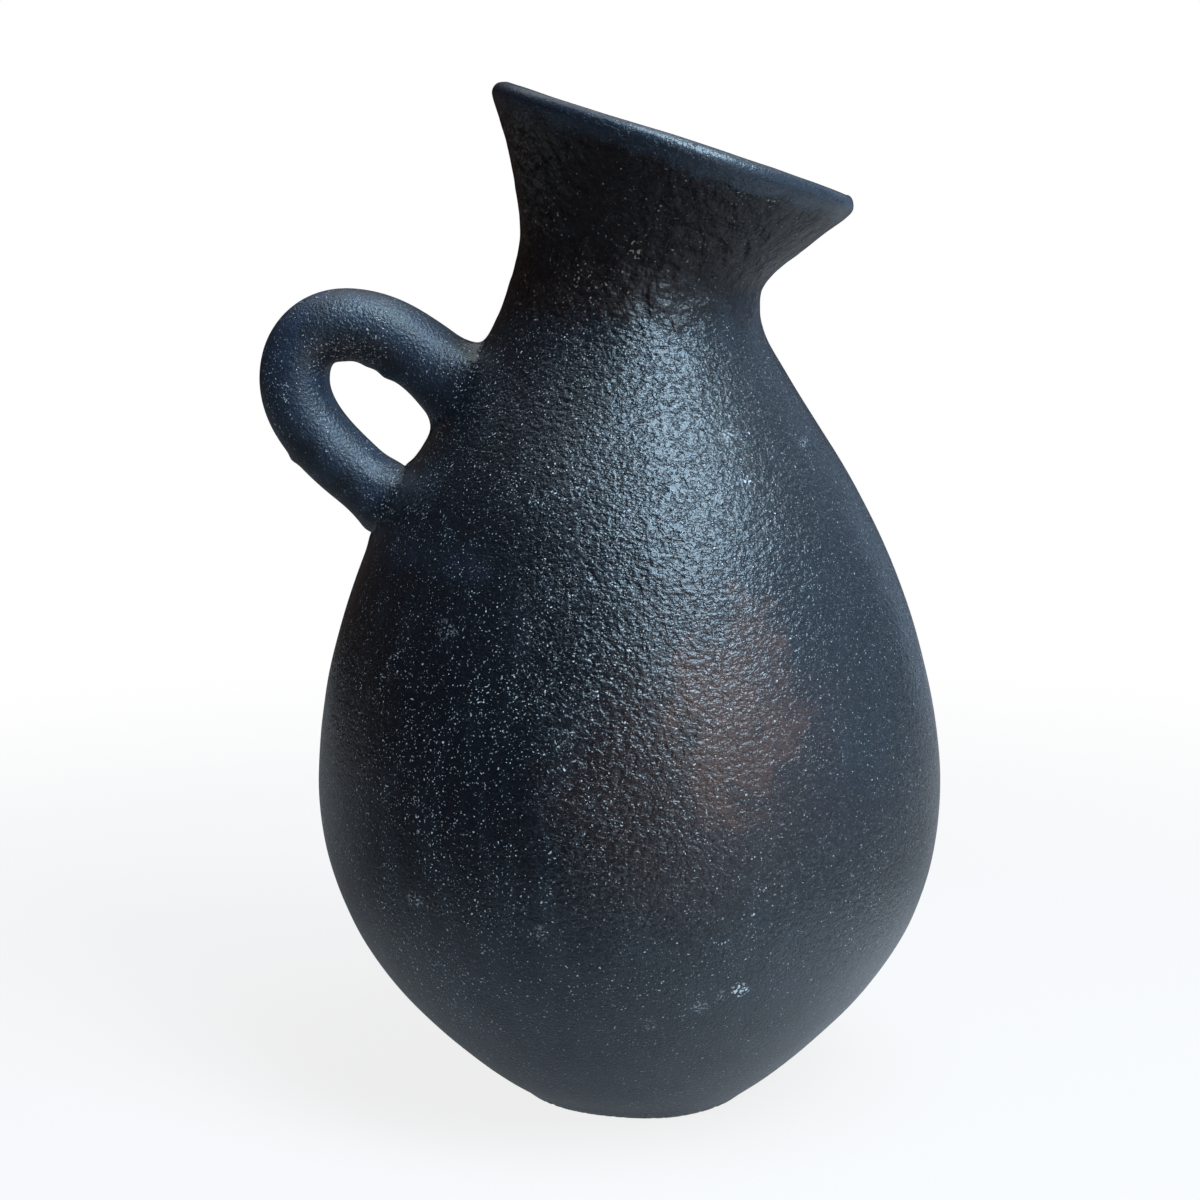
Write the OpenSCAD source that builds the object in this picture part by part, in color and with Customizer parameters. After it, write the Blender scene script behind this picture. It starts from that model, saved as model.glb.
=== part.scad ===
// A wheel-thrown terracotta jug with a leaning funnel neck and one thick side handle.
// The foot stands on z = 0 with its centre at the origin. The neck leans towards +X,
// which is the pouring side, and the handle stands out towards -X.
// All sizes are in millimetres. Each stage of the body rises from the one below it, as it
// is thrown, so above the lean's start a rise runs along the neck's bent centreline.

/* [Foot and belly] */
// Diameter of the flat foot
foot_d = 87; // [60:1:110]
// Angle of the wall where it leaves the foot, from upright
foot_flare = 53.5; // [30:0.5:58]
// How long the lower wall keeps the foot's angle, as a share of the belly's height
foot_fullness = 0.64; // [0.3:0.01:0.75]
// Diameter of the widest part of the belly
belly_d = 235.5; // [200:0.5:280]
// Height of the widest part of the belly
belly_h = 125; // [100:1:160]
// How upright the wall stays below the belly, as a share of the belly's height
belly_fullness = 0.32; // [0.1:0.01:0.6]
// How far the shoulder sits to the handle side of the foot
belly_shift = 2.5; // [0:0.5:8]

/* [Shoulder] */
// Diameter of the shoulder at its steepest
shoulder_d = 167; // [150:1:190]
// How far the shoulder's steepest part rises above the belly
shoulder_rise = 112; // [85:1:130]
// Slope of the shoulder there, from upright
shoulder_slope = 32; // [20:1:42]
// How full the curve between belly and shoulder is
shoulder_fullness = 0.3; // [0.15:0.01:0.5]
// How straight the cone between shoulder and neck is
cone_fullness = 0.48; // [0.2:0.01:0.6]

/* [Neck and mouth] */
// Diameter of the neck at its narrowest
neck_d = 91; // [75:1:110]
// How far the neck's narrowest part rises above the shoulder
neck_rise = 76; // [60:1:95]
// How softly the shoulder's cone turns into the neck
neck_softness = 0.33; // [0.15:0.01:0.6]
// Diameter of the mouth, across the middle of the lip
mouth_d = 131.5; // [115:0.5:150]
// How far the middle of the lip rises above the neck
mouth_rise = 45.5; // [32:0.5:65]
// Flare of the funnel at the mouth, from the neck's own axis
mouth_flare = 36; // [20:1:45]
// How softly the neck turns into the funnel
funnel_softness = 0.165; // [0.05:0.005:0.4]
// How straight the funnel is below the lip
funnel_fullness = 0.48; // [0.2:0.01:0.65]
// How far the neck's root sits back towards the pouring side
neck_shift = 1.5; // [0:0.5:4]
// Angle that the neck leans towards the pouring side
neck_lean = 18; // [5:0.5:25]
// How far above the shoulder the neck starts to lean
lean_rise = 42; // [20:1:58]
// Length of the bend, along the neck's centreline
lean_length = 58; // [40:1:75]

/* [Walls] */
// Thickness of the thrown wall
wall = 8; // [5:0.5:12]
// Thickness of the floor
floor_t = 10; // [6:0.5:16]
// Thickness of the rounded lip
lip_t = 7.5; // [5:0.5:11]

/* [Handle] */
// Thickness of the handle at its outermost point, seen from the side
handle_t = 26.5; // [18:0.5:32]
// Thickness of the handle near its upper end
upper_root_t = 29.5; // [20:0.5:36]
// Thickness of the handle near its lower end
lower_root_t = 24; // [20:0.5:36]
// Width of the handle, seen from its end
handle_w = 26; // [18:1:36]
// How far the handle stands out from the wall beside it
handle_reach = 77; // [66:1:95]
// How far the handle's outermost point is above the shoulder
handle_rise = 35; // [18:1:48]
// How far above the shoulder the handle's upper end meets the wall
upper_root_rise = 32; // [18:1:38]
// How far below the shoulder the handle's lower end meets the wall
lower_root_drop = 10; // [5:1:32]
// Angle above level at which the handle's upper end leaves the wall
upper_root_angle = 45.5; // [35:0.5:65]
// Angle above level at which the handle's lower end leaves the wall
lower_root_angle = 50; // [35:1:65]
// How far the upper end runs on before it turns
upper_run = 48; // [35:1:65]
// How far the lower end runs on before it turns
lower_run = 8; // [4:1:20]
// Roundness of the turn above the outermost point
upper_turn = 25; // [15:1:35]
// Roundness of the turn below the outermost point
lower_turn = 21; // [12:1:30]
// How late the handle's thickness changes towards its ends
root_taper = 1.5; // [0.5:0.1:3]
// How much further the handle's ends spread where they are pressed onto the wall
root_spread = 6; // [1:0.5:8]
// Length over which they spread
root_length = 14; // [8:1:26]
// How fast the pressed clay lifts off the wall, as a share of the way along the handle
root_lift = 0.25; // [0.1:0.05:0.5]

/* [Hidden] */

clay_colour = [0.16, 0.19, 0.25];

// Facets round the body and round the handle
body_sides = 72;
handle_sides = 24;
// Steps along each curve of the body's outline, from foot to mouth, and over the lip
foot_steps = 12;
shoulder_steps = 8;
cone_steps = 9;
funnel_steps = 6;
lip_steps = 6;
// Rings down the inside, and rings along each half of the handle
inner_rings = 20;
handle_steps = 16;

// Heights above the foot
shoulder_h = belly_h + shoulder_rise;
neck_h = shoulder_h + neck_rise;
mouth_h = neck_h + mouth_rise;
lean_start = shoulder_h + lean_rise;
handle_h = shoulder_h + handle_rise;
upper_root_h = shoulder_h + upper_root_rise;
lower_root_h = shoulder_h - lower_root_drop;

// The points that the outline passes through, as [radius, height]
foot_point = [foot_d / 2, 0];
belly_point = [belly_d / 2, belly_h];
shoulder_point = [shoulder_d / 2, shoulder_h];
neck_point = [neck_d / 2, neck_h];
lip_middle = [mouth_d / 2, mouth_h];
mouth_point = lip_middle + lip_t / 2 * across(mouth_flare);

// A direction in the outline at an angle from upright, and the one square to it, outwards
function along(angle) = [sin(angle), cos(angle)];
function across(angle) = [cos(angle), -sin(angle)];

function unit(v) = v / norm(v);
function limited(v) = min(1, max(0, v));
function eased(v) = let (c = limited(v)) c * c * (3 - 2 * c);
function blended(a, b, share) = a * (1 - share) + b * share;

// A cubic curve from p[0] to p[3], pulled towards p[1] and p[2], and its direction
function curve(p, t) =
    (1 - t) ^ 3 * p[0] + 3 * (1 - t) ^ 2 * t * p[1] + 3 * (1 - t) * t ^ 2 * p[2] + t ^ 3 * p[3];
function curve_way(p, t) =
    (1 - t) ^ 2 * (p[1] - p[0]) + 2 * (1 - t) * t * (p[2] - p[1]) + t ^ 2 * (p[3] - p[2]);

// The four curves of the outline
foot_curve = [
    foot_point,
    foot_point + foot_fullness * belly_h * along(foot_flare),
    belly_point - belly_fullness * belly_h * along(0),
    belly_point
];
shoulder_curve = [
    belly_point,
    belly_point + shoulder_fullness * shoulder_rise * along(0),
    shoulder_point - shoulder_fullness * shoulder_rise * along(-shoulder_slope),
    shoulder_point
];
cone_curve = [
    shoulder_point,
    shoulder_point + cone_fullness * neck_rise * along(-shoulder_slope),
    neck_point - neck_softness * neck_rise * along(0),
    neck_point
];
funnel_curve = [
    neck_point,
    neck_point + funnel_softness * mouth_rise * along(0),
    mouth_point - funnel_fullness * mouth_rise * along(mouth_flare),
    mouth_point
];

// One station of the outline is [radius, height, angle from upright]
function stations(p, steps, first) = [
    for (i = [first:steps])
        let (at = curve(p, i / steps), way = curve_way(p, i / steps))
            [at[0], at[1], atan2(way[0], way[1])]
];
outline = concat(
    stations(foot_curve, foot_steps, 0),
    stations(shoulder_curve, shoulder_steps, 1),
    stations(cone_curve, cone_steps, 1),
    stations(funnel_curve, funnel_steps, 1)
);
lip = [
    for (i = [1:lip_steps])
        let (turn = mouth_flare - 180 * i / lip_steps)
            lip_middle + lip_t / 2 * across(turn)
];

// The inside follows the outline at the wall's thickness, thinning to the lip at the mouth
function wall_at(height) = blended(wall, lip_t, limited((height - neck_h) / mouth_rise));
inside = [
    for (s = outline)
        let (at = [s[0], s[1]] - wall_at(s[1]) * across(s[2]))
            [at[1], at[0]]
];
inside_top = inside[len(inside) - 1][0];
inner = [
    for (i = [1:inner_rings])
        let (height = blended(inside_top, floor_t, i / inner_rings))
            [lookup(height, inside), height]
];

// The centreline: it drifts a little to the handle side and back, then bends over to the
// pouring side
lean_radius = lean_length / (neck_lean * PI / 180);
function drift(height) =
    -belly_shift * eased(height / shoulder_h)
    + neck_shift * eased((height - shoulder_h) / neck_rise);
function tilt(height) = neck_lean * limited((height - lean_start) / lean_length);
function past_bend(height) = max(0, height - lean_start - lean_length);
function centre(height) = [
    drift(height) + lean_radius * (1 - cos(tilt(height))) + past_bend(height) * sin(neck_lean),
    0,
    min(height, lean_start) + lean_radius * sin(tilt(height)) + past_bend(height) * cos(neck_lean)
];

// A ring of the body round the centreline
function body_ring(radius, height) =
    let (c = centre(height), lean = tilt(height)) [
        for (i = [0:body_sides - 1])
            let (turn = 360 * i / body_sides)
                c + radius * [cos(turn) * cos(lean), sin(turn), -cos(turn) * sin(lean)]
    ];

// The outer wall's radius at a height below the bend
outer_table = [for (s = outline) [s[1], s[0]]];
function outer_radius(height) = lookup(height, outer_table);

// A point moved level onto the outer wall, or so far outside it
function on_wall(p, outside) =
    let (
        middle = [drift(p[2]), 0],
        level = [p[0], p[1]] - middle,
        at = middle + (outer_radius(p[2]) + outside) * unit(level)
    ) [at[0], at[1], p[2]];

// How far a point lies outside the outer wall
function off_wall(p) = norm([p[0] - drift(p[2]), p[1]]) - outer_radius(p[2]);

// The handle's centreline, in two curves that meet at its outermost point
function wall_spot(height) = [drift(height) - outer_radius(height), 0, height];
function leaving(angle) = [-cos(angle), 0, sin(angle)];
upper_root = wall_spot(upper_root_h);
lower_root = wall_spot(lower_root_h);
outermost = [wall_spot(handle_h)[0] - handle_reach + handle_t / 2, 0, handle_h];
upper_half = [
    upper_root,
    upper_root + upper_run * leaving(upper_root_angle),
    outermost + upper_turn * [0, 0, 1],
    outermost
];
lower_half = [
    outermost,
    outermost - lower_turn * [0, 0, 1],
    lower_root + lower_run * leaving(lower_root_angle),
    lower_root
];

// A ring of the handle: round its centreline, thicker towards its root, and laid against
// the wall there
function handle_ring(p, t, root, root_t) =
    let (
        c = curve(p, t),
        way = unit(curve_way(p, t)),
        side = [way[2], 0, -way[0]],
        from_root = norm(c - root),
        share = limited(1 - from_root / norm(outermost - root)),
        near = (1 - limited(from_root / root_length)) ^ 2,
        lift = root_lift * min(from_root, root_length),
        thicker = (root_t - handle_t) / 2 * share ^ root_taper + root_spread * near
    ) [
        for (i = [0:handle_sides - 1])
            let (
                turn = 360 * i / handle_sides,
                free = c + (handle_t / 2 + thicker) * cos(turn) * side
                    + (handle_w / 2 + thicker) * sin(turn) * [0, 1, 0],
                pressed = blended(free, on_wall(free, from_root), near)
            )
                on_wall(pressed, max(off_wall(pressed), lift))
    ];

// The roots end halfway into the wall, so that the handle and the wall are one piece of clay
function root_ring(ring) = [for (p = ring) on_wall(p, -wall / 2)];

// A closed solid through rings that have as many points each
module lofted(rings) {
    sides = len(rings[0]);
    last = len(rings) - 1;
    points = [for (ring = rings) each ring];
    skin = [
        for (k = [0:last - 1], i = [0:sides - 1])
            let (
                j = (i + 1) % sides,
                a = k * sides + i,
                b = k * sides + j,
                c = (k + 1) * sides + j,
                d = (k + 1) * sides + i
            )
                each [[a, d, c], [a, c, b]]
    ];
    start = [for (i = [0:sides - 1]) i];
    end = [for (i = [0:sides - 1]) last * sides + sides - 1 - i];
    polyhedron(points, concat([start], skin, [end]));
}

module thrown_body() {
    lofted([for (s = concat(outline, lip, inner)) body_ring(s[0], s[1])]);
}

module handle() {
    upper = [
        for (i = [0:handle_steps]) handle_ring(upper_half, i / handle_steps, upper_root, upper_root_t)
    ];
    lower = [
        for (i = [1:handle_steps]) handle_ring(lower_half, i / handle_steps, lower_root, lower_root_t)
    ];
    lofted(concat([root_ring(upper[0])], upper, lower, [root_ring(lower[handle_steps - 1])]));
}

module jug() {
    color(clay_colour) union() {
        thrown_body();
        handle();
    }
}

jug();
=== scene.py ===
"""The finish of the terracotta jug: its clay, worked surface and fired colours, and a studio to see it in."""

import math

import bmesh
import bpy
import numpy as np
from bpy.props import FloatProperty, FloatVectorProperty, IntProperty, PointerProperty
from mathutils import Matrix, Vector, noise
from mathutils.bvhtree import BVHTree


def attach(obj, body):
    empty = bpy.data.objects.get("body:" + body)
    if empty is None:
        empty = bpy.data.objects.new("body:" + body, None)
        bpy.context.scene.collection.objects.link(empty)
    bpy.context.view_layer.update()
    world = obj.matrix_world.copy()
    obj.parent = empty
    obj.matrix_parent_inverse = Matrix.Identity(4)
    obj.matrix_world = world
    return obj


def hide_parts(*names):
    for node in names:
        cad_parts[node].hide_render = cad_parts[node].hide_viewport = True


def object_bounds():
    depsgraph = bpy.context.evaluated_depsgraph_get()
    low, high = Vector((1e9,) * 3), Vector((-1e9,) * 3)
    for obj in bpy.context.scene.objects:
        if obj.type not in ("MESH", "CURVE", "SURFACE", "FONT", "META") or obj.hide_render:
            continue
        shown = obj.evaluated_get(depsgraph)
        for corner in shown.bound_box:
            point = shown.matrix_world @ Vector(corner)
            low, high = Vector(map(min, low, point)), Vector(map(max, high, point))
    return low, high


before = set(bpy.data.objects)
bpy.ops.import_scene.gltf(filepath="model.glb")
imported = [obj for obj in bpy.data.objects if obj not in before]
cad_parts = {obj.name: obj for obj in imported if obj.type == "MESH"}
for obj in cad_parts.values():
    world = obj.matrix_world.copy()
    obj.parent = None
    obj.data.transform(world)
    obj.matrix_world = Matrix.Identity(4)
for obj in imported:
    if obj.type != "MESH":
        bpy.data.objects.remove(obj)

bl_info = {
    "name": "Terracotta Jug",
    "version": (1, 0, 0),
    "blender": (4, 5, 0),
    "location": "3D View > Sidebar > Jug",
    "description": "Shapes the hand-worked clay of a terracotta jug, fires its colours and sets a studio",
    "category": "Object",
}

MM = 0.001
CAD_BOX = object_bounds()
JUG_NODE = "jug"
JUG_PIECE = "jug_clay"
NECK_LEAN = math.radians(18)

# The wall's outer radius at three heights, from the handle's lower root to above its upper one
WALL_HEIGHTS = (227 * MM, 269 * MM, 290 * MM)
WALL_RADII = (88.5 * MM, 62.5 * MM, 55 * MM)

# Spans over which one zone of the shape gives way to the next. The lip's is along the neck's leaning line.
FOOT_SPAN = (4 * MM, 14 * MM)
FLOOR_SPAN = (20 * MM, 60 * MM)
NECK_SPAN = (285 * MM, 305 * MM)
LIP_SPAN = (330 * MM, 338 * MM)
ARM_SPAN = (205 * MM, 220 * MM)
OFF_WALL_SPAN = (2 * MM, 12 * MM)
ROOT_SPAN = (4 * MM, 13 * MM)

# Sizes of the lumps and trowelled patches, and the small lumps' height as a share of the broad ones'
BROAD_LUMP = 45 * MM
SMALL_LUMP = 16 * MM
TROWEL_PATCH = 9 * MM
SMALL_LUMP_SHARE = 0.35

# The worn part of the foot's rim: its direction from the pouring side, and the spans where the wear fades in
WORN_SIDE = math.radians(224)
WORN_TURN = (0.35, 0.95)
WORN_RADIUS = (30 * MM, 43 * MM)
WORN_HEIGHT = (2 * MM, 16 * MM)
WORN_LIFT = (1 * MM, 10 * MM)
LIFT_SHARE = 0.65

# Broad swells and hollows as seen from the front, in millimetres: (x, z, reach, height)
SWELLS = (
    (-110, 90, 34, 0.45),
    (-113, 165, 24, 0.3),
    (118, 118, 44, 0.3),
    (84, 225, 26, -0.4),
    (-45, 330, 18, -0.4),
    (-50, 378, 9, 0.6),
    (-14, 368, 15, -0.35),
    (36, 354, 22, 0.5),
    (83, 337, 3.5, -0.8),
    (-104, 307, 14, 0.3),
    (-84, 302, 11, 0.4),
)

# Nubs and pressed places of clay, in millimetres: (x, y, z, reach, height)
NUBS = (
    (-58.5, -4, 286, 2.8, 1.3),
    (-60, -3, 286.5, 6, -1.3),
    (-76, -3, 255, 6, -0.9),
    (-127.5, -3, 242.5, 2.2, 0.9),
    (-91.5, -4, 275, 3.6, 1.3),
    (-99, -2, 277.5, 3, 0.6),
    (-114.5, -3, 275.5, 3, -0.6),
    (-108, -3, 280, 3.6, 0.7),
    (-104, -9, 240, 2.2, 0.5),
    (-97, -11, 236, 1.8, 0.5),
    (-101, -12, 231, 2, 0.4),
    (-112, -11, 246, 2.4, 0.4),
    (-98, -2, 214.5, 4.5, 0.9),
    (-84, -4, 240, 3.4, 1.2),
    (50, -30, 10, 12, 0.2),
    (78.5, -6, 341.5, 3, 0.7),
    (77, -6, 330, 4.4, 0.2),
)

# Pale scuffs on the front, in millimetres: (x, z, size, strength)
SCUFFS = (
    (35.8, 69.6, 3.4, 1.6),
    (30.0, 67.5, 2.6, 0.4),
    (22.5, 63.5, 3.0, 0.3),
    (-32.6, 92.6, 3.2, 0.30),
    (-77.2, 97.5, 3.4, 0.40),
    (-66.0, 192.6, 3.6, 0.25),
    (38.6, 242.7, 1.8, 1.6),
    (33.0, 258.0, 3.0, 0.5),
    (60.5, 253.0, 2.4, 0.6),
    (5.0, 56.0, 2.4, 0.25),
)

# Clusters of buff specks on the neck, partly crust and partly painted glints, in millimetres: (x, z, size,
# strength)
CRUST_AND_GLINT_SPOTS = (
    (0.1, 321.6, 4.5, 0.8),
    (-17.4, 310.9, 8.0, 0.6),
    (6.6, 334.9, 3.0, 0.5),
    (35.1, 340.1, 3.5, 0.6),
    (47.1, 338.3, 2.2, 0.7),
    (-30.0, 330.0, 9.0, 0.25),
    (24.0, 306.0, 7.0, 0.35),
)

# Ovals of scorch on the front, and of a darker, browner patch on the inner side of the handle's upper arm, in
# millimetres: (x, z, half width, half height)
SCORCH_HEART = (33, 165, 26, 40)
SCORCH_HALO = (22, 150, 52, 62)
HANDLE_INNER_PATCH = (-105, 282, 20, 9)

# Rises and depths in the finest relief, in millimetres
GRAIN_RISE = 0.34
ROLL_RISE = 0.42
CREASE_DEPTH = 0.16
PIT_DEPTH = 0.12
SAND_RISE = 0.09
FOOT_SAND_RISE = 0.50
GRIT_RISE = 0.07
DENT_RISE = 0.80

# The level of the sand's grain past which the slip thins and the clay roughens
SAND_LEVEL = 0.47

# Places and sizes of the lamps, in metres, and the point that they light
LIT_POINT = (0, 0, 0.20)
KEY_PLACE = (0.76, -0.87, 1.31)
KEY_SIZE = (0.80, 0.92)
TOP_PLACE = (0.25, -0.35, 1.45)
TOP_SIZE = (0.60, 0.60)

# The photograph's viewing angle: the camera's place, how far it looks down, and its lens and sensor in mm
CAMERA_PLACE = (-0.0125, -0.950, 0.3502)
CAMERA_PITCH = 0.1679
LENS = 76.62
SENSOR_WIDTH = 36.0


class JugClay(bpy.types.PropertyGroup):
    """Sizes of the hand-worked surface."""

    fineness: IntProperty(name="Fineness", description="Times that the CAD's faces are divided", default=2)
    softening: IntProperty(
        name="Softening", description="Rounds of smoothing that blend the handle into the wall", default=120,
    )
    lump_height: FloatProperty(
        name="Lumps", description="Height of the broad lumps that the hands left", default=0.45 * MM,
        unit="LENGTH",
    )
    trowel_height: FloatProperty(
        name="Trowel marks", description="Height of the trowelled patches on the neck", default=0.28 * MM,
        unit="LENGTH",
    )
    foot_wear: FloatProperty(
        name="Foot wear", description="How far the foot's rim is worn back at the front left",
        default=1.1 * MM, unit="LENGTH",
    )
    ridge_height: FloatProperty(
        name="Throwing ridges", description="Height of the ridges that the fingers left inside",
        default=0.35 * MM, unit="LENGTH",
    )
    ridge_pitch: FloatProperty(
        name="Ridge pitch", description="Rise from one throwing ridge to the next", default=9 * MM,
        unit="LENGTH",
    )
    upper_root: FloatVectorProperty(
        name="Upper root", description="Where the handle's upper end meets the wall", subtype="XYZ_LENGTH",
        default=(-62 * MM, 0, 271 * MM),
    )
    lower_root: FloatVectorProperty(
        name="Lower root", description="Where the handle's lower end meets the wall", subtype="XYZ_LENGTH",
        default=(-90 * MM, 0, 229 * MM),
    )
    root_reach: FloatProperty(
        name="Root reach", description="How far from a root the clay is smoothed", default=32 * MM,
        unit="LENGTH",
    )


class JugFinish(bpy.types.PropertyGroup):
    """Colours and grain of the fired clay."""

    clay: FloatVectorProperty(
        name="Clay", description="Main colour, a blue-black slip", subtype="COLOR",
        default=(0.0058, 0.0080, 0.0125),
    )
    clay_pale: FloatVectorProperty(
        name="Pale clay", description="Colour where the slip is thin", subtype="COLOR",
        default=(0.016, 0.023, 0.034),
    )
    navy: FloatVectorProperty(
        name="Navy", description="Deep blue of the slip on the handle", subtype="COLOR",
        default=(0.013, 0.025, 0.052),
    )
    soot: FloatVectorProperty(
        name="Soot", description="Near black of the neck", subtype="COLOR", default=(0.0095, 0.0040, 0.0038),
    )
    scorch: FloatVectorProperty(
        name="Scorch", description="Brown of the patches that the kiln left", subtype="COLOR",
        default=(0.100, 0.047, 0.034),
    )
    # Pale colour of the grit specks, which are partly painted glints, and of the scuffs.
    fleck: FloatVectorProperty(
        name="Flecks", description="Pale grains of grit in the clay", subtype="COLOR",
        default=(0.74, 0.78, 0.82),
    )
    # On the neck the buff specks are partly crust and partly painted glints.
    crust: FloatVectorProperty(
        name="Crust", description="Buff dust on the neck and the handle", subtype="COLOR",
        default=(0.40, 0.34, 0.26),
    )
    # The lip's steel blue is partly its own smoother slip and partly a painted highlight along its top.
    lip: FloatVectorProperty(
        name="Lip", description="Steel blue of the highlit lip", subtype="COLOR", default=(0.014, 0.023, 0.040),
    )
    sheen: FloatProperty(
        name="Roughness", description="Roughness of the burnished surface", default=0.29, min=0, max=1,
    )
    grain: FloatProperty(
        name="Grain", description="Size of the coarse grain", default=2.6 * MM, unit="LENGTH",
    )
    grit: FloatProperty(
        name="Grit", description="Size of the fine grit", default=1.1 * MM, unit="LENGTH",
    )


class JugStudio(bpy.types.PropertyGroup):
    """The lamps, floor, cards and camera."""

    key_power: FloatProperty(
        name="Key lamp", description="Power of the tall lamp at the front right", default=22.0, unit="POWER",
    )
    top_power: FloatProperty(
        name="Top lamp", description="Power of the lamp overhead", default=9.0, unit="POWER",
    )
    key_colour: FloatVectorProperty(
        name="Lamp colour", description="Colour of the lamps, like a clear sky", subtype="COLOR",
        default=(0.68, 0.86, 1.0),
    )
    world_level: FloatProperty(name="Room light", description="Level of the light all round", default=0.15)
    shadow_share: FloatProperty(
        name="Shadow", description="How much of the floor's shading shows round the jug", default=0.16,
    )
    card_reach: FloatProperty(
        name="Card reach", description="Distance of the curved cards", default=1.3, unit="LENGTH",
    )
    slate: FloatVectorProperty(
        name="Slate", description="Brightness of the card on the pouring side", subtype="COLOR",
        default=(0.30, 0.40, 0.54),
    )
    dusk: FloatVectorProperty(
        name="Dusk", description="Brightness of the dark cards", subtype="COLOR",
        default=(0.030, 0.021, 0.017),
    )
    mat_near: FloatProperty(
        name="Mat by the foot", description="Brightness of the floor card round the foot", default=0.29,
    )
    mat_side: FloatProperty(
        name="Mat at the side", description="Brightness of the floor card on the pouring side", default=0.56,
    )
    mat_back: FloatProperty(
        name="Mat at the back", description="Brightness of the floor card behind the handle", default=0.23,
    )


def masked(value, low, high):
    """A soft step from 0 at low to 1 at high, on an array."""
    t = np.clip((value - low) / (high - low), 0, 1)
    return t * t * (3 - 2 * t)


def points_of(mesh):
    """The mesh's points as an array."""
    flat = np.empty(len(mesh.vertices) * 3)
    mesh.vertices.foreach_get("co", flat)
    return flat.reshape(-1, 3)


def normals_of(mesh):
    """The mesh's point normals as an array."""
    flat = np.empty(len(mesh.vertices) * 3)
    mesh.vertex_normals.foreach_get("vector", flat)
    return flat.reshape(-1, 3)


def place_points(mesh, points):
    """Writes an array of points back to the mesh."""
    mesh.vertices.foreach_set("co", points.ravel())
    mesh.update()


def lumps(points, size, seed, octaves=1):
    """Noise at each point, about -1 to 1, with features of one size."""
    shift = Vector((seed * 13.7, seed * 5.3, seed * 9.1))
    if octaves == 1:
        return np.array([noise.noise(Vector(p) / size + shift) for p in points])
    return np.array([noise.fractal(Vector(p) / size + shift, 0.9, 2.0, octaves) for p in points])


def merged_copy(node, name):
    """A copy of a CAD node's mesh, merged and turned into quads, with a firm edge at the foot."""
    foot_top = 0.5 * MM
    firmness = 0.7
    sheet = bmesh.new()
    sheet.from_mesh(node.data)
    bmesh.ops.remove_doubles(sheet, verts=sheet.verts, dist=0.002 * MM)
    bmesh.ops.join_triangles(
        sheet, faces=sheet.faces, angle_face_threshold=math.radians(25), angle_shape_threshold=math.pi,
    )
    crease = sheet.edges.layers.float.new("crease_edge")
    for edge in sheet.edges:
        sharp = edge.calc_face_angle(0) > math.radians(30)
        if sharp and all(end.co.z < foot_top for end in edge.verts):
            edge[crease] = firmness
    mesh = bpy.data.meshes.new(name)
    sheet.to_mesh(mesh)
    sheet.free()
    piece = bpy.data.objects.new(name, mesh)
    bpy.context.scene.collection.objects.link(piece)
    return piece


def settled(piece):
    """Applies the piece's modifiers to its mesh."""
    graph = bpy.context.evaluated_depsgraph_get()
    mesh = bpy.data.meshes.new_from_object(piece.evaluated_get(graph), depsgraph=graph)
    piece.modifiers.clear()
    old = piece.data
    piece.data = mesh
    mesh.name = old.name + "_worked"
    bpy.data.meshes.remove(old)


def inside_mask(mesh, points, normals):
    """1 on the jug's inside, found by looking straight down for the inner floor or lower wall."""
    tree = BVHTree.FromPolygons([v.co for v in mesh.vertices], [tuple(f.vertices) for f in mesh.polygons])
    down = Vector((0, 0, -1))
    highest_hit = 120 * MM
    off_surface = 1.5 * MM
    found = np.zeros(len(points))
    starts = points + normals * off_surface
    for i, start in enumerate(starts):
        hit = tree.ray_cast(Vector(start), down)
        if hit[0] is not None and hit[0].z < highest_hit:
            found[i] = 1.0
    return found


def off_wall(points):
    """How far points near the handle stand out from the wall, which narrows upwards."""
    x, y, z = points.T
    return np.hypot(x, y) - np.interp(z, WALL_HEIGHTS, WALL_RADII)


def up_the_neck(points):
    """Height along the neck's leaning line, which is the same all round the lip."""
    return points[:, 0] * math.sin(NECK_LEAN) + points[:, 2] * math.cos(NECK_LEAN)


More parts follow.
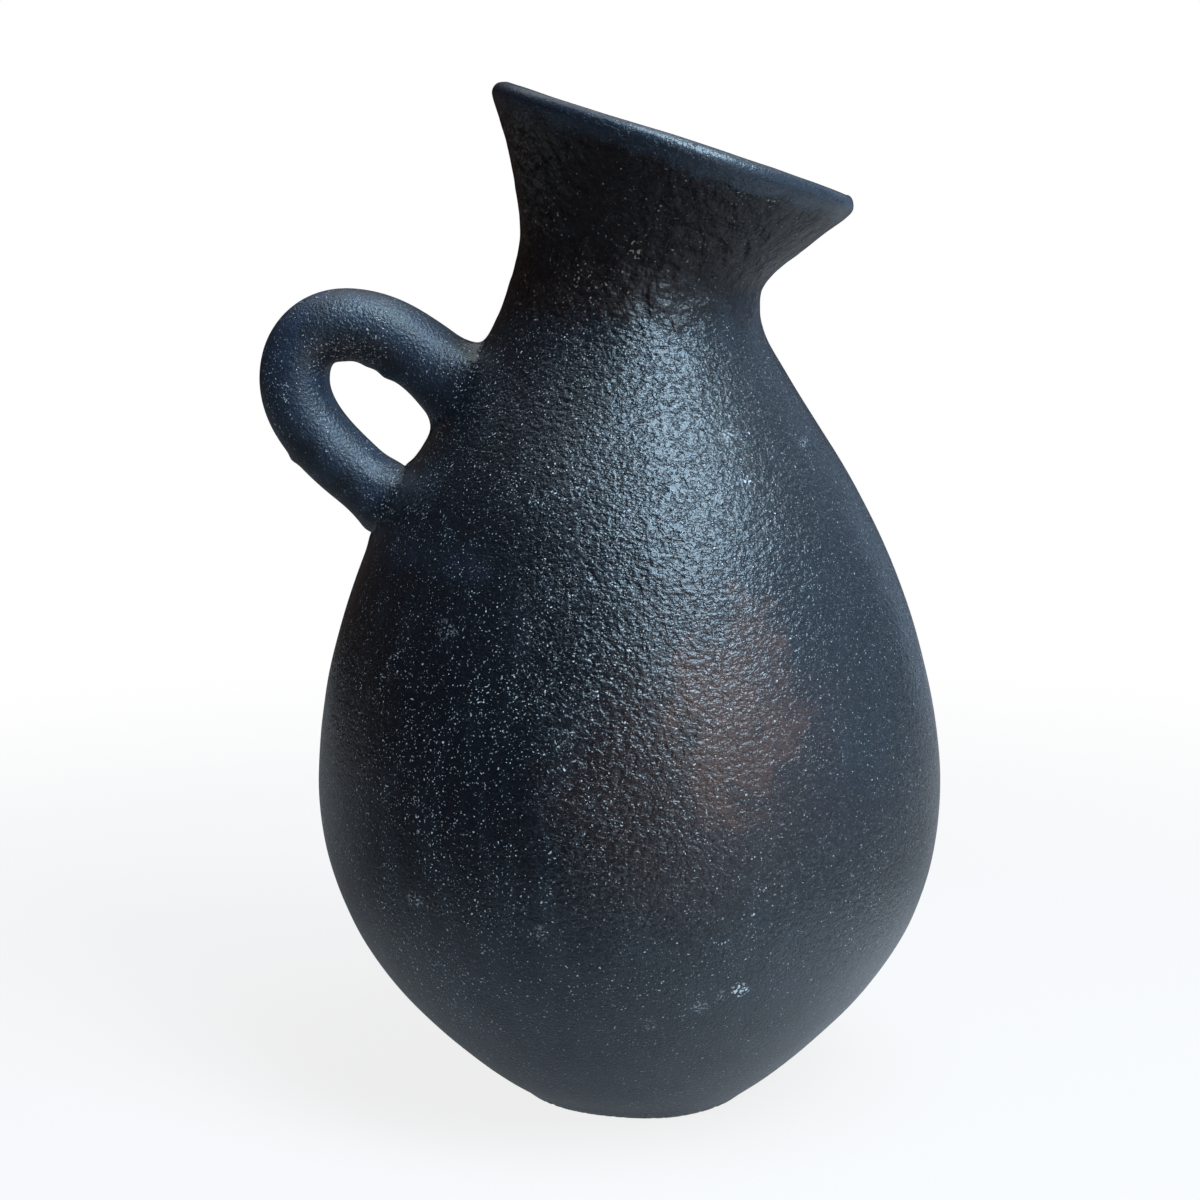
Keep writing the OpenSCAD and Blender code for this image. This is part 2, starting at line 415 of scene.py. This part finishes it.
class JUG_OT_clay(bpy.types.Operator):
    """Shapes the jug's clay: the handle blended into the wall, the worked surface and its fired finish"""

    bl_idname = "jug.clay"
    bl_label = "Shape the jug"

    def execute(self, context):
        sizes = context.scene.jug_clay
        piece = merged_copy(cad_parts[JUG_NODE], JUG_PIECE)
        divide = piece.modifiers.new("even", "SUBSURF")
        divide.levels = divide.render_levels = sizes.fineness
        settled(piece)
        self.blend_roots(piece, sizes)
        mesh = piece.data
        points = points_of(mesh)
        normals = normals_of(mesh)
        inside = inside_mask(mesh, points, normals)
        handle = self.handle_mask(points) * (1 - inside)
        self.work_surface(mesh, points, normals, inside, handle, sizes)
        for face in mesh.polygons:
            face.use_smooth = True
        mesh.attributes.new("handle", "FLOAT", "POINT").data.foreach_set("value", handle)
        mesh.materials.clear()
        mesh.materials.append(fired_clay(context.scene.jug_finish))
        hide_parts(JUG_NODE)
        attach(piece, "root")
        return {"FINISHED"}

    def blend_roots(self, piece, sizes):
        """Smooths the clay where the handle's ends were pressed onto the wall."""
        points = points_of(piece.data)
        share = np.zeros(len(points))
        full_reach = 0.6 * sizes.root_reach
        for root in (sizes.upper_root, sizes.lower_root):
            away = np.linalg.norm(points - np.array(root), axis=1)
            share = np.maximum(share, 1 - masked(away, full_reach, sizes.root_reach))
        share *= 1 - masked(off_wall(points), *ROOT_SPAN)
        group = piece.vertex_groups.new(name="roots")
        for i in np.flatnonzero(share > 0):
            group.add([int(i)], float(share[i]), "REPLACE")
        smooth = piece.modifiers.new("roots", "SMOOTH")
        smooth.factor = 0.5
        smooth.iterations = sizes.softening
        smooth.vertex_group = group.name
        settled(piece)
        piece.vertex_groups.clear()

    def handle_mask(self, points):
        """1 on the handle and 0 on the wall."""
        x, z = points[:, 0], points[:, 2]
        handle_side = x < -50 * MM
        return masked(off_wall(points), *OFF_WALL_SPAN) * masked(z, *ARM_SPAN) * handle_side

    def work_surface(self, mesh, points, normals, inside, handle, sizes):
        """Moves the points by the lumps, trowel marks, throwing ridges, swells and nubs."""
        outside = 1 - inside
        height = points[:, 2]
        neck = masked(height, *NECK_SPAN) * (1 - masked(up_the_neck(points), *LIP_SPAN))
        neck *= outside * (1 - handle)
        foot = 1 - masked(height, *FOOT_SPAN)
        move = sizes.lump_height * lumps(points, BROAD_LUMP, seed=1)
        move += SMALL_LUMP_SHARE * sizes.lump_height * lumps(points, SMALL_LUMP, seed=2)
        move += sizes.trowel_height * lumps(points, TROWEL_PATCH, seed=4, octaves=2) * neck
        turn = 2 * math.pi / sizes.ridge_pitch
        move += sizes.ridge_height * np.sin(height * turn) * inside * masked(height, *FLOOR_SPAN)
        move *= 1 - 0.8 * foot
        for x, z, reach, proud in SWELLS:
            away = np.hypot(points[:, 0] - x * MM, points[:, 2] - z * MM)
            move += proud * MM * np.exp(-((away / (reach * MM)) ** 2)) * outside
        for *middle, reach, proud in NUBS:
            away = np.linalg.norm(points - np.array(middle) * MM, axis=1)
            move += proud * MM * np.exp(-((away / (reach * MM)) ** 2)) * outside
        moved = points + normals * move[:, None]
        resting = (height < 0.3 * MM) & (normals[:, 2] < -0.8)
        moved[resting, 2] = 0.0
        self.wear_foot(points, moved, sizes)
        low, high = (np.array(corner) for corner in CAD_BOX)
        place_points(mesh, np.clip(moved, low, high))

    def wear_foot(self, points, moved, sizes):
        """Rounds the foot's rim at the front left, where the jug was dragged while it was wet."""
        x, y, z = points.T
        around = np.hypot(x, y) + 1e-9
        facing = (x * math.cos(WORN_SIDE) + y * math.sin(WORN_SIDE)) / around
        share = masked(facing, *WORN_TURN) * masked(around, *WORN_RADIUS) * (1 - masked(z, *WORN_HEIGHT))
        moved[:, :2] -= (points[:, :2] / around[:, None]) * (share * sizes.foot_wear)[:, None]
        moved[:, 2] += LIFT_SHARE * share * sizes.foot_wear * (1 - masked(z, *WORN_LIFT))


class Value:
    """One socket of a material, so that a pattern reads as plain arithmetic."""

    def __init__(self, nodes, socket):
        self.nodes = nodes
        self.socket = socket

    def other(self, name):
        """Another output of the same node."""
        return Value(self.nodes, self.socket.node.outputs[name])

    def __add__(self, other):
        return self.nodes.maths("ADD", self, other)

    def __sub__(self, other):
        return self.nodes.maths("SUBTRACT", self, other)

    def __mul__(self, other):
        return self.nodes.maths("MULTIPLY", self, other)

    def __truediv__(self, other):
        return self.nodes.maths("DIVIDE", self, other)

    def __rsub__(self, other):
        return self.nodes.maths("SUBTRACT", other, self)

    __radd__ = __add__
    __rmul__ = __mul__


class Nodes:
    """A material's nodes, added one at a time by type, settings and socket values."""

    def __init__(self, tree):
        self.tree = tree
        tree.nodes.clear()

    def add(self, kind, settings=None, out=0, **sockets):
        """A node. A socket is named in full, or as i and its number where its name isn't its own."""
        node = self.tree.nodes.new(kind)
        for key, value in (settings or {}).items():
            setattr(node, key, value)
        for key, value in sockets.items():
            numbered = key[0] == "i" and key[1:].isdigit()
            socket = node.inputs[int(key[1:]) if numbered else key.replace("_", " ")]
            if isinstance(value, Value):
                self.tree.links.new(value.socket, socket)
            elif socket.type == "RGBA":
                socket.default_value = (*value, 1)
            else:
                socket.default_value = value
        return Value(self, node.outputs[out]) if node.outputs else None

    def maths(self, operation, a, b=0.0):
        return self.add("ShaderNodeMath", {"operation": operation}, i0=a, i1=b)

    def larger(self, a, b):
        return self.maths("MAXIMUM", a, b)

    def place(self):
        """The point on the object, and its x, y and z in metres."""
        here = self.add("ShaderNodeTexCoord", out=3)
        x = self.add("ShaderNodeSeparateXYZ", Vector=here)
        return here, x, x.other("Y"), x.other("Z")

    def stretched(self, place, x, y, z):
        """A place with its axes scaled, so that a grain on it lies along one of them."""
        return self.add("ShaderNodeVectorMath", {"operation": "MULTIPLY"}, i0=place, i1=(x, y, z))

    def ramp(self, value, low, high):
        """0 up to low and 1 from high on, softly."""
        soft = {"interpolation_type": "SMOOTHSTEP"}
        return self.add("ShaderNodeMapRange", soft, Value=value, From_Min=low, From_Max=high)

    def mix(self, share, a, b):
        """A colour between a and b."""
        return self.add("ShaderNodeMix", {"data_type": "RGBA"}, out=2, i0=share, i6=a, i7=b)

    def grain(self, place, size, detail=2.0, rough=0.5):
        """Noise with features of one size, 0 to 1."""
        return self.add("ShaderNodeTexNoise", Vector=place, Scale=1 / size, Detail=detail, Roughness=rough)

    def specks(self, place, size, level):
        """Ragged small grains, where fine noise passes a level. A lower level gives more of them."""
        return self.ramp(self.grain(place, size, 0.0) - level, 0.0, 0.05)


def eased(zone, share):
    """1 off a zone, and lower by a share where the zone is full."""
    return 1 - share * zone


class ClayPattern:
    """The fired clay's grains and zones, and the relief, colour and roughness worked out from them."""

    def __init__(self, nodes, finish):
        self.nodes = nodes
        self.finish = finish
        self.place, self.x, self.y, self.z = nodes.place()
        self.find_grains()
        self.find_zones()
        self.find_grit()

    def find_grains(self):
        """Noise of each size, as values from 0 to 1."""
        n = self.nodes
        squat = n.stretched(self.place, 1.0, 1.0, 1.4)
        upright = n.stretched(self.place, 1.0, 1.0, 0.16)
        self.broad = n.grain(self.place, 45 * MM, 3.0, 0.5)
        self.medium = n.grain(self.place, 12 * MM, 3.0, 0.6)
        self.coarse = n.grain(squat, self.finish.grain, 2.0, 0.55)
        self.fine = n.grain(self.place, self.finish.grit, 1.5, 0.55)
        self.sand = n.grain(self.place, 0.85 * MM, 1.0, 0.6)
        self.streaks = n.grain(upright, 11 * MM, 3.0, 0.6)

    def find_zones(self):
        """Where each finish lies, as shares from 0 to 1."""
        n = self.nodes
        x, y, z = self.x, self.y, self.z
        self.handle = n.add("ShaderNodeAttribute", {"attribute_name": "handle"}, out=2)
        self.front = 1 - n.ramp(y, -50 * MM, -10 * MM)
        self.low = 1 - n.ramp(self.ragged(z, self.broad, 50 * MM), 30 * MM, 125 * MM)
        along = x * math.sin(NECK_LEAN) + z * math.cos(NECK_LEAN)
        along = self.ragged(self.ragged(along, self.medium, 16 * MM), self.fine, 4 * MM)
        self.lip = n.ramp(along, 334.5 * MM, 340.5 * MM)
        neck = n.ramp(self.ragged(z, self.medium, 30 * MM), 290 * MM, 304 * MM)
        self.neck = neck * (1 - self.lip) * (1 - self.handle)
        self.right = n.ramp(x, -60 * MM, 5 * MM)
        self.burnished = n.ramp(self.ragged(x, self.broad, 40 * MM), -8 * MM, 28 * MM)
        rugged = (0.25 + 0.75 * self.right) * eased(self.burnished, 0.3) * eased(self.low, 0.85)
        self.rugged = rugged * eased(self.handle, 0.75) * eased(self.lip, 0.65) * eased(self.neck, 0.8)
        # A darker, browner patch on the inner side of the handle's upper arm.
        self.inner_patch = self.patch(HANDLE_INNER_PATCH, self.medium, 0.8) * self.handle

    def find_grit(self):
        """Pale grains, partly grit and partly painted glints, more of them in dusty clusters and on the left,
        pits in its coarse grain and pale scuffs.
        """
        n = self.nodes
        dusty_and_glinting = n.ramp(self.broad * 0.35 + self.medium * 0.35 + self.streaks * 0.30, 0.39, 0.61)
        # More grains away from the pouring side, where they stand partly for painted glints.
        dusty_and_glinting = dusty_and_glinting * (0.25 + 0.75 * (1 - n.ramp(self.x, -20 * MM, 80 * MM)))
        dusty_and_glinting = dusty_and_glinting * eased(self.neck, 0.9) * eased(self.lip, 0.5) * eased(self.low, 0.2)
        dusty_and_glinting = n.larger(dusty_and_glinting, self.inner_patch * 1.3)
        small = n.specks(self.place, 0.64 * MM, 0.77 + 0.015 * self.low - 0.060 * dusty_and_glinting)
        large = n.specks(self.place, 1.1 * MM, 0.835 + 0.015 * self.low - 0.050 * dusty_and_glinting)
        self.grit = (small + large) * eased(self.neck, 0.8) * eased(self.lip, 0.9) * eased(self.handle, 0.35)
        self.pits = (1 - n.ramp(self.coarse, 0.33, 0.46)) * self.rugged
        marks = 0
        for x, z, size, strength in SCUFFS:
            marks = marks + self.patch((x, z, size, size), self.medium, 2.0) * strength
        self.scuffed = marks * n.specks(self.place, 0.9 * MM, 0.56) * self.front

    def ragged(self, distance, grain, reach):
        """A distance made uneven by a grain, so that an edge on it isn't straight."""
        return distance + (grain - 0.5) * reach

    def patch(self, oval, grain, raggedness):
        """A ragged oval as seen from the front, 1 in its middle."""
        middle_x, middle_z, half_width, half_height = (size * MM for size in oval)
        across = (self.x - middle_x) / half_width
        up = (self.z - middle_z) / half_height
        away = self.ragged(across * across + up * up, grain, raggedness)
        return 1 - self.nodes.ramp(away, 0.0, 1.3)

    def relief(self):
        """The height of the finest relief, in millimetres."""
        n = self.nodes
        squat = n.stretched(self.place, 1.0, 1.0, 1.5)
        wrinkle = n.grain(squat, 3.6 * MM, 2.0, 0.5)
        creases = 1 - n.ramp(n.maths("ABSOLUTE", wrinkle - 0.5), 0.0, 0.017)
        dents = n.ramp(n.grain(self.place, 6.0 * MM, 2.0, 0.5), 0.25, 0.75) * self.neck
        height = (n.ramp(self.coarse, 0.24, 0.66) * GRAIN_RISE + self.medium * ROLL_RISE) * self.rugged
        height = height - creases * CREASE_DEPTH * self.right - self.pits * PIT_DEPTH
        height = height + self.sand * SAND_RISE * self.right + self.sand * self.low * FOOT_SAND_RISE
        fine_rise = 0.34 - 0.18 * self.right - 0.10 * self.lip + 0.14 * self.handle + 0.14 * self.burnished
        return height + self.fine * fine_rise + dents * DENT_RISE + self.grit * GRIT_RISE

    def thin_slip_and_painted_floor_reflection(self):
        """How thin the slip is, in streaks, patches and grains, most of all low on the belly, where the
        paleness is partly a painted reflection of the floor.
        """
        n = self.nodes
        streaks = n.ramp(self.streaks, 0.45, 0.7) * 0.4
        patches = n.ramp(self.medium, 0.5, 0.75) * 0.2
        # Paler low on the belly: partly worn slip, partly a painted reflection of the floor.
        worn = self.low * (0.15 + 0.9 * n.ramp(self.streaks, 0.3, 0.7))
        grains = (self.sand - SAND_LEVEL) * (1.3 + 3.2 * self.low) * eased(self.right * (1 - self.low), 0.2)
        return n.larger(streaks + patches + worn + grains, 0.0)

    def dust(self):
        """Buff specks round the neck's foot, in the crusts' clusters and on the handle's inner patch. On the
        neck they are partly crust and partly painted glints.
        """
        n = self.nodes
        neck_front = 1 - n.ramp(self.y, -30 * MM, -10 * MM)
        collar = self.neck * (1 - n.ramp(self.z, 302 * MM, 325 * MM))
        crust_and_glint_share = collar * n.ramp(self.medium, 0.48, 0.62) * 0.5
        # Clusters of buff specks, partly crust and partly painted glints.
        for x, z, size, strength in CRUST_AND_GLINT_SPOTS:
            cluster = self.patch((x, z, size, size), self.medium, 2.0)
            crust_and_glint_share = n.larger(crust_and_glint_share, cluster * strength * neck_front)
        level = 0.80 - 0.20 * crust_and_glint_share - 0.10 * self.inner_patch
        return n.specks(self.place, 1.0 * MM, level) * (self.neck + self.inner_patch)

    def colour(self):
        """The slip, then what lies over it: navy, soot, lip (partly a painted highlight), scorch, the
        handle's inner patch, scuffs, and grit and dust (partly painted glints).
        """
        n = self.nodes
        finish = self.finish
        colour = n.mix(self.thin_slip_and_painted_floor_reflection(), tuple(finish.clay), tuple(finish.clay_pale))
        navy = self.handle * (0.30 + 0.70 * n.ramp(self.medium, 0.35, 0.6))
        colour = n.mix(navy, colour, tuple(finish.navy))
        colour = n.mix(self.neck * 0.85, colour, tuple(finish.soot))
        # Steel-blue band round the lip: partly smoother slip, partly a painted highlight.
        colour = n.mix(self.lip * 0.85, colour, tuple(finish.lip))
        heart = self.patch(SCORCH_HEART, self.medium, 3.2) * 0.75
        halo = self.patch(SCORCH_HALO, self.broad, 1.4) * 0.25
        colour = n.mix(n.larger(heart, halo) * self.front, colour, tuple(finish.scorch))
        # Darker and browner on the inner side of the handle's upper arm.
        colour = n.mix(self.inner_patch * 0.75, colour, tuple(finish.soot))
        colour = n.mix(self.inner_patch * n.ramp(self.medium, 0.45, 0.65) * 0.4, colour, tuple(finish.scorch))
        colour = n.mix(self.scuffed, colour, tuple(finish.fleck))
        # Pale specks: partly grit, partly painted glints.
        tone = n.ramp(n.grain(self.place, 2.3 * MM, 0.0), 0.35, 0.65)
        colour = n.mix(self.grit * (0.35 + 0.65 * tone), colour, tuple(finish.fleck))
        return n.mix(self.dust() * 0.75, colour, tuple(finish.crust))

    def roughness(self):
        """Smoothest on the burnished belly, and rougher in pits, soot and grit and on the handle."""
        n = self.nodes
        rough = self.finish.sheen + (self.coarse - 0.5) * 0.14 * self.rugged + self.pits * 0.15
        rough = rough + self.low * 0.10 - 0.05 * (1 - n.ramp(self.z, 140 * MM, 220 * MM)) * (1 - self.low)
        rough = rough + (self.sand - SAND_LEVEL) * 0.25 * self.right + (self.grit + self.scuffed) * 0.20
        return rough + self.neck * 0.10 + self.handle * 0.18 + self.lip * 0.04


def fired_clay(finish):
    """Blue-black fired clay under a glossy slip, with matt soot on the neck."""
    material = bpy.data.materials.new("fired_clay")
    material.use_nodes = True
    n = Nodes(material.node_tree)
    pattern = ClayPattern(n, finish)
    colour = pattern.colour()
    rough = pattern.roughness()
    normal = n.add("ShaderNodeBump", Strength=1.0, Distance=MM, Height=pattern.relief())
    slip = n.add(
        "ShaderNodeBsdfPrincipled", Base_Color=colour, Roughness=rough, Normal=normal,
        Specular_IOR_Level=1.0, Specular_Tint=(0.80, 0.92, 1.0),
    )
    soot = n.add(
        "ShaderNodeBsdfPrincipled", Base_Color=colour, Roughness=rough, Normal=normal,
        Specular_IOR_Level=0.35,
    )
    clay = n.add("ShaderNodeMixShader", i0=pattern.neck * 0.6, i1=slip, i2=soot)
    n.add("ShaderNodeOutputMaterial", Surface=clay)
    return material


def area_lamp(name, place, aim, size, power, colour):
    """A soft rectangular lamp at a place, turned to what it lights."""
    data = bpy.data.lights.new(name, "AREA")
    data.shape = "RECTANGLE"
    data.size, data.size_y = size
    data.energy = power
    data.color = colour
    lamp = bpy.data.objects.new(name, data)
    lamp.location = place
    lamp.rotation_euler = (Vector(aim) - Vector(place)).to_track_quat("-Z", "Y").to_euler()
    bpy.context.scene.collection.objects.link(lamp)


def seen_directly(n):
    """1 for the rays that look at the background: straight, mirrored or through glass."""
    rays = n.add("ShaderNodeLightPath", out="Is Camera Ray")
    seen = rays + rays.other("Is Glossy Ray") + rays.other("Is Transmission Ray")
    return n.maths("MINIMUM", seen, 1.0)


def glowing(name, pattern):
    """A card's material that looks the same however it is lit. The pattern is a function of its nodes."""
    material = bpy.data.materials.new(name)
    material.use_nodes = True
    n = Nodes(material.node_tree)
    glow = n.add("ShaderNodeEmission", Color=pattern(n), Strength=1.0)
    n.add("ShaderNodeOutputMaterial", Surface=glow)
    return material


def cloudy(n, colour):
    """One colour in soft dim and bright clouds, so that the clay's relief shows in its sheen."""
    cloud_size = 0.40
    dim, bright = 0.25, 1.75
    here = n.place()[0]
    clouds = n.ramp(n.grain(here, cloud_size, 1.0), 0.38, 0.62)
    return n.mix(clouds, tuple(dim * part for part in colour), tuple(bright * part for part in colour))


def stage_sheet(name, sheet, material):
    """A stage object from a bmesh, in one material."""
    mesh = bpy.data.meshes.new(name)
    sheet.to_mesh(mesh)
    sheet.free()
    mesh.materials.append(material)
    piece = bpy.data.objects.new(name, mesh)
    bpy.context.scene.collection.objects.link(piece)
    return piece


class JUG_OT_stage(bpy.types.Operator):
    """Sets the floor, cards, lamps, room light and the camera at the photograph's angle"""

    bl_idname = "jug.stage"
    bl_label = "Set the studio"

    def execute(self, context):
        studio = context.scene.jug_studio
        self.floor(studio)
        self.room(studio)
        self.cards(studio)
        area_lamp("key", KEY_PLACE, LIT_POINT, KEY_SIZE, studio.key_power, studio.key_colour)
        area_lamp("top", TOP_PLACE, LIT_POINT, TOP_SIZE, studio.top_power, studio.key_colour)
        self.camera(context.scene)
        context.scene.view_settings.view_transform = "Standard"
        return {"FINISHED"}

    def floor(self, studio):
        """A white floor that keeps the jug's shadow near it."""
        material = bpy.data.materials.new("white_floor")
        material.use_nodes = True
        n = Nodes(material.node_tree)
        away = n.add("ShaderNodeVectorMath", {"operation": "LENGTH"}, out=1, i0=n.place()[0])
        paint = n.add("ShaderNodeBsdfDiffuse", Color=(0.85, 0.85, 0.85))
        glow = n.add("ShaderNodeEmission", Color=(1, 1, 1), Strength=1.0)
        share = seen_directly(n) * (1 - studio.shadow_share * (1 - n.ramp(away, 0.3, 0.9)))
        n.add("ShaderNodeOutputMaterial", Surface=n.add("ShaderNodeMixShader", i0=share, i1=paint, i2=glow))
        half_width = 30
        sheet = bmesh.new()
        bmesh.ops.create_grid(sheet, x_segments=1, y_segments=1, size=half_width)
        stage_sheet("floor", sheet, material)

    def room(self, studio):
        """Pale light all round, and a white background."""
        world = bpy.data.worlds.new("room")
        bpy.context.scene.world = world
        world.use_nodes = True
        n = Nodes(world.node_tree)
        light = n.add("ShaderNodeBackground", Color=(0.80, 0.88, 1.0), Strength=studio.world_level)
        white = n.add("ShaderNodeBackground", Color=(1, 1, 1), Strength=1.0)
        both = n.add("ShaderNodeMixShader", i0=seen_directly(n), i1=light, i2=white)
        n.add("ShaderNodeOutputWorld", Surface=both)

    def cards(self, studio):
        """Cards that keep the white room out of the dark clay's sheen, and are seen only there."""
        dusk = glowing("dusk_card", lambda n: cloudy(n, studio.dusk))
        slate = glowing("slate_card", lambda n: cloudy(n, studio.slate))
        mat = glowing("mat_card", lambda n: self.mat_colour(n, studio))
        tall, short = 2.6, 1.3
        cards = (
            ("dark_screen", self.curved_card(studio, 150, 285, tall), dusk),
            ("back_screen", self.curved_card(studio, 64, 150, short), dusk),
            ("slate_screen", self.curved_card(studio, -50, 64, short), slate),
            ("floor_mat", self.round_mat(studio), mat),
        )
        for name, sheet, paper in cards:
            card = stage_sheet(name, sheet, paper)
            card.visible_camera = False
            card.visible_shadow = False
            card.visible_diffuse = False

    def mat_colour(self, n, studio):
        """Mid grey round the foot, pale blue on the pouring side, dim at the back and dark elsewhere."""
        here, x, y, z = n.place()
        away = n.add("ShaderNodeVectorMath", {"operation": "LENGTH"}, out=1, i0=here)
        near = 1 - n.ramp(away, 0.11, 0.42)
        side = n.ramp(x, -0.08, 0.24)
        back = n.ramp(y, -0.25, 0.35)
        level = near * studio.mat_near * (1 + 3.2 * side)
        level = n.larger(level, side * studio.mat_side * (0.7 + 0.3 * back))
        level = n.larger(level, studio.mat_back * back)
        return n.mix(level, tuple(studio.dusk), (0.80, 0.90, 1.0))

    def round_mat(self, studio):
        """A round card just over the floor, under the jug and out to the screens."""
        card = bmesh.new()
        bmesh.ops.create_circle(card, cap_ends=True, segments=48, radius=studio.card_reach)
        bmesh.ops.translate(card, verts=card.verts, vec=(0, 0, 0.5 * MM))
        return card

    def curved_card(self, studio, start, end, height):
        """An upright card bent round the jug, from one direction to another in degrees from the +X side."""
        card = bmesh.new()
        near = Matrix.Rotation(math.radians(start), 4, "Z") @ Vector((studio.card_reach, 0, 0))
        foot = card.verts.new(near)
        head = card.verts.new(near + Vector((0, 0, height)))
        edge = card.edges.new((foot, head))
        turn = math.radians(end - start)
        bmesh.ops.spin(card, geom=[foot, head, edge], angle=turn, steps=24, axis=(0, 0, 1), cent=(0, 0, 0))
        return card

    def camera(self, scene):
        """The camera at the photograph's angle, looking along +Y and a little down."""
        data = bpy.data.cameras.new("camera")
        data.sensor_width = SENSOR_WIDTH
        data.lens = LENS
        camera = bpy.data.objects.new("camera", data)
        camera.location = CAMERA_PLACE
        camera.rotation_euler = (math.pi / 2 - CAMERA_PITCH, 0, 0)
        scene.collection.objects.link(camera)
        scene.camera = camera


class JUG_PT_panel(bpy.types.Panel):
    """The jug's steps in the 3D view's sidebar"""

    bl_label = "Jug"
    bl_idname = "JUG_PT_panel"
    bl_space_type = "VIEW_3D"
    bl_region_type = "UI"
    bl_category = "Jug"

    def draw(self, context):
        for group in (context.scene.jug_clay, context.scene.jug_finish, context.scene.jug_studio):
            box = self.layout.box()
            for name in group.bl_rna.properties.keys():
                if name not in ("rna_type", "name"):
                    box.prop(group, name)
        self.layout.operator(JUG_OT_clay.bl_idname)
        self.layout.operator(JUG_OT_stage.bl_idname)


CLASSES = (JugClay, JugFinish, JugStudio, JUG_OT_clay, JUG_OT_stage, JUG_PT_panel)


def register():
    for cls in CLASSES:
        bpy.utils.register_class(cls)
    bpy.types.Scene.jug_clay = PointerProperty(type=JugClay)
    bpy.types.Scene.jug_finish = PointerProperty(type=JugFinish)
    bpy.types.Scene.jug_studio = PointerProperty(type=JugStudio)


def unregister():
    del bpy.types.Scene.jug_clay
    del bpy.types.Scene.jug_finish
    del bpy.types.Scene.jug_studio
    for cls in reversed(CLASSES):
        bpy.utils.unregister_class(cls)


def main():
    register()
    bpy.ops.jug.clay()
    bpy.ops.jug.stage()


if __name__ == "__main__":
    main()
